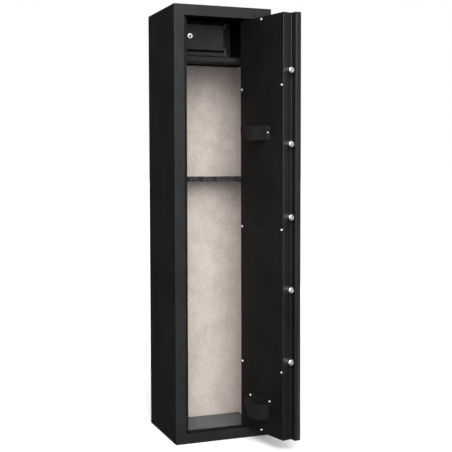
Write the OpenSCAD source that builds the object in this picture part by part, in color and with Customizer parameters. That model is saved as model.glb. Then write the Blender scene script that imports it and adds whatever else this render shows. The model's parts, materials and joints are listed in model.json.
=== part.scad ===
// Slim upright gun safe with a concealed-pivot door, five locking bolts worked
// by a lever, a key lock, an inner lockbox, a barrel rack and a lined inside.
// Millimetres, +Z up, origin at the centre of the cabinet's underside.

/* [Cabinet] */
// Width of the cabinet
cab_w = 350; // [340:1:400]
// Depth of the cabinet, front to back
cab_d = 300; // [290:1:400]
// Height of the cabinet
cab_h = 1480; // [1440:5:1600]
// Thickness of the body sheet
sheet = 3; // [3:0.5:3.5]
// Width of the two upright front stiles
stile_w = 37; // [36:1:40]
// Height of the top front rail
top_rail_h = 37; // [34:1:45]
// Height of the bottom front rail
bottom_rail_h = 35; // [34:1:45]

/* [Door] */
// Gap between the door and the stiles
side_gap = 4; // [3.5:0.5:5]
// Gap between the door and the two rails
end_gap = 7.5; // [7:0.5:9]
// Angle at which the door stands open, 0 is shut
open_angle = 102.5; // [0:0.5:114]
// Thickness of the outer plate
plate_t = 4; // [3:0.5:5]
// Depth of the outer panel
panel_depth = 22; // [20:1:22]
// Thickness of the whole door
door_depth = 55; // [54:1:58]
// Width of the lip beside the free edge
lip_w = 23; // [22:1:24]

/* [Locking bolts] */
// Number of locking bolts
bolt_count = 5; // [3:1:5]
// Distance from one bolt to the next
bolt_pitch = 236.6; // [150:0.1:240]
// Diameter of a bolt
bolt_d = 21; // [18:1:21]
// Distance the bolts are thrown
bolt_throw = 18; // [12:1:18]

/* [Inside] */
// Height of the shelf's top face
shelf_z = 1318; // [1200:1:1330]
// Height of the barrel rack's top face
rack_z = 905; // [700:5:1100]
// Thickness of the barrel rack
rack_t = 17; // [12:1:22]
// Distance from one barrel notch to the next
notch_pitch = 54; // [50:1:54]
// Thickness of the carpet lining
lining_t = 3; // [2:0.5:3]

/* [Hidden] */
$fn = 48;

paint = "#2b2c2e";
steel = "#8d9095";
nickel = "#d8d8d4";
brass = "#b08d4a";
carpet = "#8d8279";
black = "#1b1b1d";

// Cabinet, seen from its front plane at y = 0
in_w = cab_w / 2 - sheet;
in_back = cab_d - sheet;
open_w = cab_w / 2 - stile_w;
open_z0 = bottom_rail_h;
open_z1 = cab_h - top_rail_h;
ledge_d = 40;
flange_y = panel_depth + 0.5;
flange_t = 2.5;
flange_w = 15;
anchor_r = 6;
anchor_x = 100;
anchor_y = 85;
wall_anchor_z = 1390;
back_lining_t = 4;
lining_y = 60;
lining_top = shelf_z - 7;

// Door in its shut place
door_w = open_w - side_gap;
door_z0 = open_z0 + end_gap;
door_z1 = open_z1 - end_gap;
door_mid = (door_z0 + door_z1) / 2;
edge_t = 3;
wall_t = 2;
cover_y = door_depth - wall_t;
box_x0 = lip_w - door_w;
box_x1 = door_w - 3;
flange_in = 15;
pin_x = 114;
pin_y = 15;
pin_r = 5;
run_gap = 0.05;
bush_r = 8;
block_h = 30;

// Bolt work, with the bolts thrown
bolt_r = bolt_d / 2;
bolt_y = 36.5;
bolt_tip = -door_w;
bolt_mid = door_mid + 37;
bolt_zs = [for (i = [0 : bolt_count - 1]) bolt_mid + (i - (bolt_count - 1) / 2) * bolt_pitch];
bar_x0 = -92;
bar_x1 = -84;
bar_y0 = 24;
bar_y1 = 49;
arm_y0 = 40;
arm_t = 4;
shank_r = 6;
nut_af = 19;
bolt_bush_r = bolt_r + 3;

// Lever handle and its crank
handle_x = -46;
handle_z = 850;
spindle_r = 8;
crank_swing = 30;
crank_r = bolt_throw / 2 / sin(crank_swing);
crank_pin_r = 4;
arm_z0 = handle_z - 22;
arm_z1 = handle_z + 32;

// Key lock
lock_x = -18;
lock_z = 930;
plug_r = 9;
lock_travel = 12;
lock_swing = 45;
lock_crank_r = lock_travel / 2 / sin(lock_swing);
lock_pin_r = 2.5;
deadbolt_w = 10;
deadbolt_end = arm_z1 + 2;

// Lockbox
lbx0 = -166;
lbx1 = 51.5;
lb_y = 75;
lb_z0 = shelf_z + 2;
lb_z1 = lb_z0 + 114.5;
leaf_x0 = -132;
leaf_x1 = 27;
leaf_z0 = lb_z0 + 21;
leaf_z1 = lb_z0 + 106;
lb_pin_x = 36;
lb_pin_y = 80;
lb_pin_r = 2.5;
lb_lock_x = -94.5;
lb_lock_z = (leaf_z0 + leaf_z1) / 2 + 2;
lb_frame_y = 86;

// Strap and muzzle pocket on the inner cover
strap_z = 1052;
strap_w = 50;
strap_x0 = -18;
strap_x1 = 88;
strap_rise = 52;
strap_t = 2.5;
strap_tab = 24;
pocket_x = 16.5;
pocket_z0 = 92;
pocket_z1 = 166;

// Frames and plain shapes

module in_cabinet() {
    translate([0, -cab_d / 2, 0]) children();
}

module in_door() {
    in_cabinet() translate([pin_x, pin_y, 0]) rotate([0, 0, open_angle])
        translate([-pin_x, -pin_y, 0]) children();
}

module slab(a, b) {
    translate(a) cube(b - a);
}

module rod_x(x0, x1, r) {
    translate([x0, 0, 0]) rotate([0, 90, 0]) cylinder(h = x1 - x0, r = r);
}

module rod_y(y0, y1, r) {
    translate([0, y0, 0]) rotate([-90, 0, 0]) cylinder(h = y1 - y0, r = r);
}

module rod_z(z0, z1, r) {
    translate([0, 0, z0]) cylinder(h = z1 - z0, r = r);
}

// Domed screw: the head's underside is at y = 0 and it stands out towards +Y
module dome_screw(head_r, head_h, shank_r, shank_l) {
    rotate([-90, 0, 0]) rotate_extrude() union() {
        intersection() {
            ball_r = (head_r * head_r + head_h * head_h) / (2 * head_h);
            translate([0, head_h - ball_r]) circle(r = ball_r);
            square([head_r, head_h]);
        }
        translate([0, -shank_l]) square([shank_r, shank_l]);
    }
}

// Cabinet body

module side_panel(side) {
    color(paint) in_cabinet()
        slab([side > 0 ? in_w : -cab_w / 2, sheet, 0], [side > 0 ? cab_w / 2 : -in_w, cab_d, cab_h]);
}

module back_panel() {
    color(paint) in_cabinet() difference() {
        slab([-in_w, in_back, 0], [in_w, cab_d, cab_h]);
        for (x = [-anchor_x, anchor_x])
            translate([x, 0, wall_anchor_z]) rod_y(in_back - 1, cab_d + 1, anchor_r);
    }
}

module top_panel() {
    color(paint) in_cabinet() slab([-in_w, sheet, cab_h - sheet], [in_w, in_back, cab_h]);
}

module base_panel() {
    color(paint) in_cabinet() difference() {
        slab([-in_w, sheet, 0], [in_w, in_back, sheet]);
        for (x = [-anchor_x, anchor_x])
            translate([x, anchor_y, 0]) rod_z(-1, sheet + 1, anchor_r);
    }
}

module stile(side) {
    color(paint) in_cabinet()
        slab([side > 0 ? open_w : -cab_w / 2, 0, open_z0], [side > 0 ? cab_w / 2 : -open_w, sheet, open_z1]);
}

module front_rail(z0, z1, ledge_z) {
    color(paint) in_cabinet() difference() {
        union() {
            slab([-cab_w / 2, 0, z0], [cab_w / 2, sheet, z1]);
            slab([-in_w, sheet, ledge_z], [in_w, ledge_d, ledge_z + sheet]);
        }
        translate([pin_x, pin_y, 0]) rod_z(ledge_z - 1, ledge_z + sheet + 1, pin_r);
    }
}

// Return of the left stile
module keeper_return() {
    color(paint) in_cabinet()
        slab([-open_w - wall_t, sheet, open_z0], [-open_w, flange_y, open_z1]);
}

// Stop flange: the thrown bolts stand behind it, and drawn back they clear its edge
module keeper_flange() {
    color(paint) in_cabinet()
        slab([-in_w, flange_y, open_z0], [flange_w - open_w, flange_y + flange_t, open_z1]);
}

module hinge_pins() {
    color(steel) in_cabinet() translate([pin_x, pin_y, 0]) {
        rod_z(open_z0 - 12, door_z0 + 28, pin_r);
        rod_z(door_z1 - 28, open_z1 + 12, pin_r);
    }
}

module thrust_washer() {
    color(brass) in_cabinet() translate([pin_x, pin_y, 0]) difference() {
        rod_z(open_z0, door_z0 - 0.2, pin_r + 6);
        rod_z(open_z0 - 1, door_z0 + 1, pin_r + run_gap);
    }
}

// Linings

module back_lining() {
    color(carpet) in_cabinet()
        slab([-in_w, in_back - back_lining_t, sheet + lining_t], [in_w, in_back, lining_top]);
}

module side_lining(side) {
    color(carpet) in_cabinet()
        slab([side > 0 ? in_w - lining_t : -in_w, lining_y, sheet + lining_t],
            [side > 0 ? in_w : lining_t - in_w, in_back - back_lining_t, lining_top]);
}

module floor_lining() {
    color(carpet) in_cabinet() difference() {
        slab([-in_w, sheet, sheet], [in_w, in_back, sheet + lining_t]);
        for (x = [-anchor_x, anchor_x])
            translate([x, anchor_y, 0]) rod_z(sheet - 1, sheet + lining_t + 1, anchor_r + 1);
    }
}

// Shelf and barrel rack

shelf_x = in_w - 0.5;
rack_x = in_w - lining_t - 0.5;
shelf_y = 72;
shelf_back = 291;
shelf_lip = 16;
shelf_flange = 15;
shelf_screw_y = [110, 250];

module shelf() {
    color(paint) in_cabinet() difference() {
        union() {
            slab([-shelf_x, shelf_y, shelf_z - sheet], [shelf_x, shelf_back, shelf_z]);
            slab([-rack_x, shelf_y, shelf_z - shelf_lip], [rack_x, shelf_y + wall_t, shelf_z]);
            for (x = [-shelf_x, shelf_x - wall_t])
                slab([x, shelf_y + 8, shelf_z], [x + wall_t, shelf_back, shelf_z + shelf_flange]);
        }
        for (side = [-1, 1], y = shelf_screw_y)
            translate([0, y, shelf_z + shelf_flange / 2])
                rod_x(side > 0 ? shelf_x - 3 : -shelf_x - 1, side > 0 ? shelf_x + 1 : 3 - shelf_x, 2);
    }
}

module shelf_screws() {
    color(steel) in_cabinet() for (side = [-1, 1], y = shelf_screw_y)
        translate([side * (shelf_x - wall_t), y, shelf_z + shelf_flange / 2])
            rotate([0, 0, side * 90]) dome_screw(4, 2, 2, wall_t + 0.5);
}

rack_y = 178;
rack_back = 292;
tooth_r = 12;
notch_r = notch_pitch / 2 - tooth_r;
notch_y = 208;
notch_count = 6;

module barrel_rack() {
    half = (notch_count / 2) * notch_pitch;
    color(black) in_cabinet() translate([0, 0, rack_z - rack_t]) linear_extrude(rack_t) intersection() {
        difference() {
            union() {
                translate([-rack_x, notch_y]) square([2 * rack_x, rack_back - notch_y]);
                for (x = [-half : notch_pitch : half]) {
                    translate([x, rack_y + tooth_r]) circle(r = tooth_r);
                    translate([x - tooth_r, rack_y + tooth_r]) square([2 * tooth_r, 25]);
                }
            }
            for (x = [notch_pitch / 2 - half : notch_pitch : half])
                translate([x, notch_y]) circle(r = notch_r);
        }
        translate([-rack_x, rack_y]) square([2 * rack_x, rack_back - rack_y]);
    }
}

module rack_brackets() {
    color(paint) in_cabinet() for (side = [-1, 1]) {
        wall = in_w - lining_t;
        z = rack_z - rack_t;
        translate([side * (wall - 10), 0, 0]) slab([-10, 215, z - 2], [10, 245, z]);
        translate([side * (wall - 1), 0, 0]) slab([-1, 215, z - 30], [1, 245, z - 2]);
    }
}

// Lockbox

module lockbox_shell() {
    color(paint) in_cabinet() difference() {
        slab([lbx0, lb_y, lb_z0], [lbx1, shelf_back, lb_z1]);
        slab([lbx0 + wall_t, lb_y - 1, lb_z0 + wall_t], [lbx1 - wall_t, shelf_back - wall_t, lb_z1 - wall_t]);
        translate([-anchor_x, 0, wall_anchor_z]) rod_y(shelf_back - 5, shelf_back + 1, anchor_r + 0.5);
    }
}

module lockbox_front() {
    x0 = lbx0 + wall_t;
    x1 = lbx1 - wall_t;
    z0 = lb_z0 + wall_t;
    z1 = lb_z1 - wall_t;
    color(paint) in_cabinet() difference() {
        union() {
            slab([x0, lb_frame_y, z0], [x1, lb_frame_y + wall_t, z1]);
            slab([x0, lb_y, z0], [lb_pin_x + 6, lb_frame_y, z0 + 11]);
        }
        slab([leaf_x0 + 6, lb_frame_y - 1, leaf_z0 + 2], [leaf_x1 - 2, lb_frame_y + 5, leaf_z1 - 2]);
    }
}

module lockbox_hinge_pins() {
    color(steel) in_cabinet() translate([lb_pin_x, lb_pin_y, 0]) {
        rod_z(lb_z0 + wall_t + 11, leaf_z0 + 9, lb_pin_r);
        rod_z(leaf_z1 - 9, lb_z1 - wall_t, lb_pin_r);
    }
}

module lockbox_door_leaf() {
    knuckle = 10;
    color(paint) in_cabinet() difference() {
        union() {
            difference() {
                slab([leaf_x0, lb_y - 2, leaf_z0], [leaf_x1, lb_frame_y - 2, leaf_z1]);
                slab([leaf_x0 + wall_t, lb_y, leaf_z0 + wall_t], [leaf_x1 - wall_t, lb_frame_y, leaf_z1 - wall_t]);
            }
            for (z = [leaf_z0, leaf_z1 - knuckle]) {
                translate([lb_pin_x, lb_pin_y, 0]) rod_z(z, z + knuckle, 5);
                slab([leaf_x1 - 1, lb_pin_y - 3, z], [lb_pin_x, lb_pin_y + 3, z + knuckle]);
            }
        }
        translate([lb_pin_x, lb_pin_y, 0]) rod_z(leaf_z0 - 1, leaf_z1 + 1, lb_pin_r + run_gap);
        translate([lb_lock_x, 0, lb_lock_z]) rod_y(lb_y - 3, lb_y + 1, 8);
    }
}

module lockbox_lock_body() {
    color(nickel) in_cabinet() translate([lb_lock_x, 0, lb_lock_z]) difference() {
        union() {
            rod_y(lb_y - 5, lb_y - 2, 8.8);
            rod_y(lb_y - 2, lb_y + 16, 8);
            rod_y(lb_y, lb_y + 3, 11);
        }
        rod_y(lb_y - 6, lb_y + 17, 6 + run_gap);
    }
}

module lockbox_plug() {
    color(nickel) in_cabinet() translate([lb_lock_x, 0, lb_lock_z]) difference() {
        rod_y(lb_y - 4.5, lb_y + 19, 6);
        slab([-0.8, lb_y - 5, -4], [0.8, lb_y + 8, 4]);
    }
}

// The cam hangs down in the rest place and turns 90 degrees behind the frame
module lockbox_cam() {
    color(steel) in_cabinet() translate([lb_lock_x, 0, lb_lock_z]) difference() {
        union() {
            rod_y(lb_y + 16.5, lb_y + 18.5, 8);
            slab([-6, lb_y + 16.5, -40], [6, lb_y + 18.5, 0]);
        }
        rod_y(lb_y + 16, lb_y + 20, 6);
    }
}

// Door shell

chamfer = 1.5;

module door_outer_panel() {
    color(paint) in_door() difference() {
        translate([0, 0, door_z0]) linear_extrude(door_z1 - door_z0) difference() {
            polygon([[-door_w, chamfer], [chamfer - door_w, 0], [door_w - chamfer, 0],
                [door_w, chamfer], [door_w, panel_depth], [-door_w, panel_depth]]);
            translate([edge_t - door_w, plate_t])
                square([2 * (door_w - edge_t), panel_depth - plate_t - edge_t]);
            translate([box_x0 + wall_t, plate_t]) square([box_x1 - box_x0 - 2 * wall_t, panel_depth]);
        }
        for (z = [door_z0 - 1, door_z1 - edge_t])
            slab([edge_t - door_w, plate_t, z], [door_w - edge_t, panel_depth + 1, z + edge_t + 1]);
        translate([handle_x, 0, handle_z]) rod_y(-1, plate_t + 1, spindle_r + 3);
        translate([lock_x, 0, lock_z]) rod_y(-1, plate_t + 1, plug_r + run_gap);
    }
}

module door_panel_ends() {
    color(paint) in_door() difference() {
        for (z = [door_z0, door_z1 - edge_t])
            slab([edge_t - door_w, plate_t, z], [door_w - edge_t, panel_depth, z + edge_t]);
        translate([pin_x, pin_y, 0]) rod_z(door_z0 - 1, door_z1 + 1, bush_r);
    }
}

module door_free_wall() {
    color(paint) in_door() difference() {
        union() {
            slab([box_x0, panel_depth, door_z0], [box_x0 + wall_t, cover_y, door_z1]);
            slab([box_x0 + wall_t, cover_y - wall_t, door_z0 + wall_t],
                [box_x0 + flange_in, cover_y, door_z1 - wall_t]);
        }
        for (z = bolt_zs)
            translate([0, bolt_y, z]) rod_x(box_x0 - 1, box_x0 + 6, bolt_bush_r);
        cover_screw_holes(cover_y - 3, cover_y + 1);
    }
}

module door_hinge_wall() {
    color(paint) in_door() difference() {
        union() {
            slab([box_x1 - wall_t, panel_depth, door_z0], [box_x1, cover_y, door_z1]);
            slab([box_x1 - flange_in, cover_y - wall_t, door_z0 + wall_t],
                [box_x1 - wall_t, cover_y, door_z1 - wall_t]);
        }
        cover_screw_holes(cover_y - 3, cover_y + 1);
    }
}

module door_inner_ends() {
    x0 = box_x0 + wall_t;
    x1 = box_x1 - wall_t;
    color(paint) in_door() difference() {
        for (top = [0, 1]) {
            z = top ? door_z1 - wall_t : door_z0;
            flange_z = top ? door_z1 - flange_in : door_z0 + wall_t;
            slab([x0, panel_depth, z], [x1, cover_y, z + wall_t]);
            slab([box_x0 + flange_in, cover_y - wall_t, flange_z],
                [box_x1 - flange_in, cover_y, flange_z + flange_in - wall_t]);
        }
        translate([pin_x, pin_y, 0]) rod_z(door_z0 - 1, door_z1 + 1, bush_r);
        cover_screw_holes(cover_y - 3, cover_y + 1);
    }
}

cover_screw_r = 2.5;
side_screw_zs = [door_mid - 472, door_mid - 4, door_mid + 464];
cover_screw_at = concat(
    [for (z = side_screw_zs) [box_x0 + 8.5, z]],
    [for (z = side_screw_zs) [box_x1 - 8.5, z]],
    [[(box_x0 + box_x1) / 2, door_z1 - 8.5], [(box_x0 + box_x1) / 2, door_z0 + 8.5]]);

module cover_screw_holes(y0, y1) {
    for (p = cover_screw_at) translate([p[0], 0, p[1]]) rod_y(y0, y1, cover_screw_r);
}

strap_screw_x = [strap_x0 - strap_tab / 2, strap_x1 + strap_tab / 2];
pocket_screw_x = [pocket_x - 55, pocket_x + 55];
pocket_screw_z = pocket_z1 - 8;

module door_inner_cover() {
    color(paint) in_door() difference() {
        slab([box_x0, cover_y, door_z0], [box_x1, door_depth, door_z1]);
        cover_screw_holes(cover_y - 1, door_depth + 1);
        for (x = strap_screw_x) translate([x, 0, strap_z]) rod_y(cover_y - 1, door_depth + 1, 2);
        for (x = pocket_screw_x) translate([x, 0, pocket_screw_z]) rod_y(cover_y - 1, door_depth + 1, 2);
    }
}

module cover_screws() {
    color(nickel) in_door() for (p = cover_screw_at)
        translate([p[0], door_depth, p[1]]) dome_screw(5, 4.2, cover_screw_r, 5.5);
}

module hinge_blocks() {
    color(steel) in_door() difference() {
        for (z = [door_z0 + edge_t, door_z1 - edge_t - block_h])
            slab([pin_x - 15, plate_t, z], [pin_x + 14.5, pin_y + 14, z + block_h]);
        translate([pin_x, pin_y, 0]) rod_z(door_z0 - 1, door_z1 + 1, bush_r);
    }
}

module hinge_bushes() {
    color(brass) in_door() translate([pin_x, pin_y, 0]) difference() {
        union() {
            rod_z(door_z0, door_z0 + edge_t + block_h, bush_r);
            rod_z(door_z1 - edge_t - block_h, door_z1, bush_r);
        }
        rod_z(door_z0 - 1, door_z1 + 1, pin_r + run_gap);
    }
}

// Bolt work

module bolt_bushes() {
    color(black) in_door() for (z = bolt_zs) translate([0, bolt_y, z]) difference() {
        rod_x(box_x0, box_x0 + 8, bolt_bush_r);
        rod_x(box_x0 - 1, box_x0 + 9, bolt_r + run_gap);
    }
}

module carriage_pads() {
    color(black) in_door() for (z = [bolt_zs[0] + 90, bolt_zs[bolt_count - 1] - 90])
        slab([bar_x0 - 8, plate_t, z - 20], [bar_x1 + bolt_throw, bar_y0 - 0.2, z + 20]);
}

// Bolt along X with a bevelled, ringed end; its shank takes the bar and a nut
module locking_bolt(i) {
    bevel = 3;
    color(nickel) in_door() translate([bolt_tip, bolt_y, bolt_zs[i]]) rotate([0, 90, 0])
        rotate_extrude() difference() {
            polygon([[0, 0], [bolt_r - bevel, 0], [bolt_r, bevel], [bolt_r, bar_x0 - bolt_tip],
                [shank_r, bar_x0 - bolt_tip], [shank_r, bar_x1 + 10 - bolt_tip], [0, bar_x1 + 10 - bolt_tip]]);
            translate([3.4, -1]) square([1.4, 1.8]);
        }
}

module bolt_bar() {
    color(steel) in_door() difference() {
        slab([bar_x0, bar_y0, bolt_zs[0] - 22], [bar_x1, bar_y1, bolt_zs[bolt_count - 1] + 22]);
        for (z = bolt_zs) translate([0, bolt_y, z]) rod_x(bar_x0 - 1, bar_x1 + 1, shank_r);
    }
}

module bolt_nuts() {
    color(steel) in_door() for (z = bolt_zs) translate([bar_x1, bolt_y, z]) rotate([0, 90, 0])
        difference() {
            cylinder(h = 8, r = nut_af / sqrt(3), $fn = 6);
            translate([0, 0, -1]) cylinder(h = 10, r = shank_r);
        }
}

// Arm with the crank's upright slot and the two gates for the lock's deadbolt: it is
// locked with the bolts thrown and with them drawn back
module bolt_bar_arm() {
    slot_x = handle_x - bolt_throw / 2;
    slot_z = handle_z + crank_r * cos(crank_swing);
    color(steel) in_door() difference() {
        slab([bar_x1, arm_y0, arm_z0], [lock_x + 14, arm_y0 + arm_t, arm_z1]);
        slab([slot_x - crank_pin_r - 0.5, arm_y0 - 1, slot_z - crank_pin_r - 1],
            [slot_x + crank_pin_r + 0.5, arm_y0 + arm_t + 1, handle_z + crank_r + crank_pin_r + 1]);
        for (x = [lock_x - bolt_throw, lock_x])
            slab([x - deadbolt_w / 2 - 0.5, arm_y0 - 1, arm_z1 - lock_travel],
                [x + deadbolt_w / 2 + 0.5, arm_y0 + arm_t + 1, arm_z1 + 1]);
    }
}

module handle_bearing() {
    color(nickel) in_door() translate([handle_x, 0, handle_z]) difference() {
        union() {
            rod_y(-8, 0, 24);
            rod_y(0, arm_y0 - 8, spindle_r + 3);
        }
        rod_y(-9, arm_y0, spindle_r + run_gap);
    }
}

module handle_spindle() {
    color(steel) in_door() translate([handle_x, 0, handle_z]) rod_y(-34, arm_y0 - 2, spindle_r);
}

// Crank arm points 30 degrees off upright, towards the bolts, with the bolts thrown
module handle_crank() {
    crank_y0 = arm_y0 - 7.5;
    crank_y1 = arm_y0 - 1;
    color(steel) in_door() translate([handle_x, 0, handle_z]) rotate([0, -crank_swing, 0]) difference() {
        union() {
            rod_y(crank_y0, crank_y1, 14);
            slab([-7, crank_y0, 0], [7, crank_y1, crank_r]);
            translate([0, 0, crank_r]) rod_y(crank_y0, crank_y1, 7);
            translate([0, 0, crank_r]) rod_y(crank_y1, arm_y0 + arm_t + 3, crank_pin_r);
        }
        rod_y(crank_y0 - 1, arm_y0 - 2, spindle_r);
    }
}

// Lever is level with the bolts thrown, and 60 degrees down draws them back
lever_l = 104;

module handle_lever() {
    color(black) in_door() translate([handle_x, 0, handle_z]) difference() {
        union() {
            rod_y(-38, -8.4, 15);
            rod_y(-41, -38, 12);
            translate([0, -29, 0]) rod_x(0, lever_l, 8);
            translate([lever_l, -29, 0]) sphere(r = 8);
        }
        rod_y(-34, -8, spindle_r);
    }
}

// Key lock

module key_escutcheon() {
    color(nickel) in_door() translate([lock_x, 0, lock_z]) difference() {
        union() {
            rod_y(-3, 0, 19);
            rod_y(-5, -3, 14);
        }
        rod_y(-6, 1, plug_r + run_gap);
    }
}

module lock_case() {
    x0 = lock_x - 30;
    x1 = lock_x + 30;
    z0 = arm_z1 + 14;
    z1 = lock_z + 38;
    color(steel) in_door() difference() {
        slab([x0, panel_depth, z0], [x1, cover_y - 3, z1]);
        slab([x0 + wall_t, panel_depth + wall_t, z0 + wall_t], [x1 - wall_t, cover_y - 5, z1 - wall_t]);
        translate([lock_x, 0, lock_z]) rod_y(panel_depth - 1, panel_depth + wall_t + 1, plug_r + run_gap);
        slab([lock_x - deadbolt_w / 2 - 0.5, arm_y0 - 1.5, z0 - 1],
            [lock_x + deadbolt_w / 2 + 0.5, arm_y0 + 5.5, z0 + wall_t + 1]);
        for (x = [x0 + 6, x1 - 6], z = [z0 + 6, z1 - 6])
            translate([x, 0, z]) rod_y(panel_depth - 1, cover_y, 2.5);
    }
}

// Plug with a bore and slots for the key, and a crank pin for the deadbolt
module lock_plug() {
    color(nickel) in_door() translate([lock_x, 0, lock_z]) {
        difference() {
            union() {
                rod_y(-4, panel_depth + 8, plug_r);
                rod_y(panel_depth + 8, panel_depth + 13, 13);
            }
            rod_y(-5, 26, 3.5);
            slab([-1.6, -5, -7.5], [1.6, 26, 7.5]);
        }
        rotate([0, -lock_swing, 0]) translate([lock_crank_r, 0, 0])
            rod_y(panel_depth + 12, arm_y0 + 6, lock_pin_r);
    }
}

module key() {
    color(nickel) in_door() translate([lock_x, 0, lock_z]) {
        rod_y(-24, 25, 3.4);
        for (y = [12, 19]) slab([-1.5, y, -7], [1.5, y + 5, 7]);
        difference() {
            translate([0, -34, 0]) rod_x(-1.5, 1.5, 13);
            translate([0, -37, 0]) rod_x(-3, 3, 6);
        }
    }
}

module lock_deadbolt() {
    slot_z = lock_z + lock_travel / 2;
    color(brass) in_door() difference() {
        union() {
            slab([lock_x - 15, arm_y0 - 1, lock_z - 15], [lock_x + 15, arm_y0 + 5, lock_z + 20]);
            slab([lock_x - deadbolt_w / 2, arm_y0 - 1, deadbolt_end],
                [lock_x + deadbolt_w / 2, arm_y0 + 5, lock_z - 15]);
        }
        slab([lock_x + lock_crank_r * cos(lock_swing) - lock_pin_r - 0.7, arm_y0 - 2, slot_z - lock_pin_r - 0.5],
            [lock_x + lock_crank_r + lock_pin_r + 0.7, arm_y0 + 6, slot_z + lock_pin_r + 0.5]);
    }
}

// Strap and muzzle pocket

// Points of an arch between its two feet, without the feet themselves
function arch(x0, x1, rise, steps) =
    [for (i = [1 : steps - 1]) let (a = 180 * i / steps)
        [(x0 + x1) / 2 - (x1 - x0) / 2 * cos(a), rise * pow(sin(a), 0.7)]];

function reversed(points) = [for (i = [len(points) - 1 : -1 : 0]) points[i]];

module strap_loop() {
    x0 = strap_x0;
    x1 = strap_x1;
    t = strap_t;
    outline = concat(
        [[x0 - strap_tab, 0], [x0 - strap_tab, t], [x0, t]],
        arch(x0, x1, strap_rise, 24),
        [[x1, t], [x1 + strap_tab, t], [x1 + strap_tab, 0], [x1 - t, 0]],
        reversed(arch(x0 + t, x1 - t, strap_rise - t, 24)),
        [[x0 + t, 0]]);
    color(black) in_door() difference() {
        translate([0, door_depth, strap_z - strap_w / 2]) linear_extrude(strap_w) polygon(outline);
        for (x = strap_screw_x)
            translate([x, 0, strap_z]) rod_y(door_depth - 1, door_depth + t + 1, 2);
    }
}

module strap_screws() {
    color(nickel) in_door() for (x = strap_screw_x)
        translate([x, door_depth + strap_t, strap_z]) dome_screw(4, 3.4, 2, strap_t + 4);
}

module pocket_slice(half, depth, z) {
    translate([pocket_x, door_depth + 2, z]) linear_extrude(0.5)
        polygon([for (a = [0 : 15 : 180]) [half * cos(a), depth * pow(sin(a), 0.8)]]);
}

module muzzle_pocket() {
    wall = 2.5;
    color(black) in_door() difference() {
        union() {
            slab([pocket_x - 70, door_depth, pocket_z1 - 22], [pocket_x + 70, door_depth + 2, pocket_z1]);
            slab([pocket_x - 50, door_depth, pocket_z0], [pocket_x + 50, door_depth + 2, pocket_z1]);
            hull() {
                pocket_slice(58, 46, pocket_z1 - 18);
                pocket_slice(44, 34, pocket_z0);
            }
        }
        hull() {
            pocket_slice(58 - wall, 46 - wall, pocket_z1 - 17);
            pocket_slice(45 - wall, 34 - wall, pocket_z0 + wall);
        }
        for (x = pocket_screw_x)
            translate([x, 0, pocket_screw_z]) rod_y(door_depth - 1, door_depth + 3, 2);
    }
}

module pocket_screws() {
    color(nickel) in_door() for (x = pocket_screw_x)
        translate([x, door_depth + 2, pocket_screw_z]) dome_screw(4.5, 3.7, 2, 6);
}

side_panel(-1);  // left_side
side_panel(1);  // right_side
back_panel();
top_panel();
base_panel();
stile(-1);  // left_stile
stile(1);  // right_stile
front_rail(open_z1, cab_h, open_z1);  // top_rail
front_rail(0, open_z0, open_z0 - sheet);  // bottom_rail
keeper_return();
keeper_flange();
hinge_pins();
thrust_washer();
back_lining();
side_lining(-1);  // left_lining
side_lining(1);  // right_lining
floor_lining();
shelf();
shelf_screws();
barrel_rack();
rack_brackets();
lockbox_shell();
lockbox_front();
lockbox_hinge_pins();
lockbox_door_leaf();
lockbox_lock_body();
lockbox_plug();
lockbox_cam();
door_outer_panel();
door_panel_ends();
door_free_wall();
door_hinge_wall();
door_inner_ends();
door_inner_cover();
cover_screws();
hinge_blocks();
hinge_bushes();
bolt_bushes();
carriage_pads();
handle_bearing();
key_escutcheon();
lock_case();
strap_loop();
strap_screws();
muzzle_pocket();
pocket_screws();
locking_bolt(0);  // locking_bolt_1
locking_bolt(1);  // locking_bolt_2
locking_bolt(2);  // locking_bolt_3
locking_bolt(3);  // locking_bolt_4
locking_bolt(4);  // locking_bolt_5
bolt_bar();
bolt_bar_arm();
bolt_nuts();
handle_lever();
handle_spindle();
handle_crank();
lock_plug();
key();
lock_deadbolt();
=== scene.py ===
"""Looks for the gun safe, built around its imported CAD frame. Metres, in the row frame."""
import json
import math

import bmesh
import bpy
import numpy as np
from mathutils import Matrix, Vector, noise


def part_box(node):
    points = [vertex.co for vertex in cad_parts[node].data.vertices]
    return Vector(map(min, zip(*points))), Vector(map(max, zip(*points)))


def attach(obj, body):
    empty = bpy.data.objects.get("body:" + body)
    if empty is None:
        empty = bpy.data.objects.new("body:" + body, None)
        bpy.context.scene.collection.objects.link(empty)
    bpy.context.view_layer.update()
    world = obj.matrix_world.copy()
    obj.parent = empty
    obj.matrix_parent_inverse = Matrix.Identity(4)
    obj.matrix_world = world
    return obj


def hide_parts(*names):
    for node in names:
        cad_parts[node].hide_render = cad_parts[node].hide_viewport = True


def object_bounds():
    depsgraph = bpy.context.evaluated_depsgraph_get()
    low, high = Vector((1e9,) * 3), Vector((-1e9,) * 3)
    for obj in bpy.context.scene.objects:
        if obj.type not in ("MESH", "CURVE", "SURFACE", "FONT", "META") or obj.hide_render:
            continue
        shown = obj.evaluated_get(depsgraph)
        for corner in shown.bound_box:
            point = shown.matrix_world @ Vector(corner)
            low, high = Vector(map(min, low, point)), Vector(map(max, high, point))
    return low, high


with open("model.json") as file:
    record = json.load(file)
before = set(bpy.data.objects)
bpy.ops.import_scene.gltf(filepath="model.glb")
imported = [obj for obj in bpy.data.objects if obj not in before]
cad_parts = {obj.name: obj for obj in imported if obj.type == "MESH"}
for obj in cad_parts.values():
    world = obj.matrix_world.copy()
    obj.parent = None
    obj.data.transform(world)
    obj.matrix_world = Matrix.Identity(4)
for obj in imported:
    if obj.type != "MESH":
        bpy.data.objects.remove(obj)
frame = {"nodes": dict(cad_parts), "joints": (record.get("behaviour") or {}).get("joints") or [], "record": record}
CAD_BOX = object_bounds()
MM = 0.001
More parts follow.
